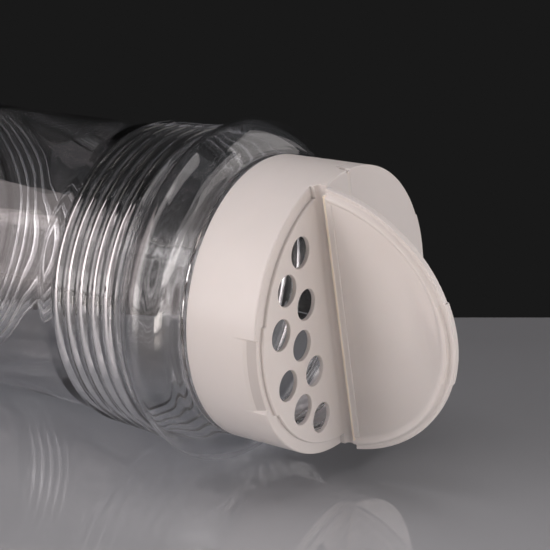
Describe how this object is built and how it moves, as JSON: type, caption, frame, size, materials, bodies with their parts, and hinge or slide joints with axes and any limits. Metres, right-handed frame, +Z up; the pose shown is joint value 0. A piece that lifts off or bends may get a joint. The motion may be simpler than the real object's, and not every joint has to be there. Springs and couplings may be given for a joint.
{
  "type": "spice jar",
  "caption": "Clear ribbed plastic spice jar lying on its side, with a white screw cap that has a sift flap (open) and a spoon flap (shut).",
  "frame": {"origin": "on the surface that the jar lies on, below the middle of its length", "axes": "+Z up from that surface, +X along the jar's axis towards the cap, +Y away from the open sift flap's side"},
  "size_m": [0.1726, 0.07, 0.07],
  "materials": {
    "clear_pet": "clear, glossy",
    "gasket": "soft foam, matte",
    "white_cap": "off-white moulded polypropylene, satin"
  },
  "bodies": {
    "jar": {"jar_body": "clear_pet"},
    "seal": {"seal_ring": "gasket"},
    "cap": {"cap_body": "white_cap", "sift_flap_hinge": "white_cap", "spoon_flap_hinge": "white_cap"},
    "sift": {"sift_flap": "white_cap"},
    "spoon": {"spoon_flap": "white_cap"}
  },
  "joints": [
    {"name": "cap_lift", "type": "slide", "parent": "jar", "child": "seal", "axis": [1, 0, 0], "range_m": [0, 0.016]},
    {"name": "cap_twist", "type": "hinge", "parent": "seal", "child": "cap", "pos_m": [0, 0, 0.035], "axis": [1, 0, 0], "range_deg": [0, 1365]},
    {"name": "sift_flap_swing", "type": "hinge", "parent": "cap", "child": "sift", "pos_m": [0.06142, -0.0041, 0.03408], "axis": [0, -0.2181, 0.9759], "range_deg": [-91, 4]},
    {"name": "spoon_flap_swing", "type": "hinge", "parent": "cap", "child": "spoon", "pos_m": [0.06142, 0.0041, 0.03592], "axis": [0, 0.2181, -0.9759], "range_deg": [0, 95]}
  ],
  "couplings": [
    {"joint": "cap_twist", "follows": "cap_lift", "rad_per_m": 1484.2}
  ]
}
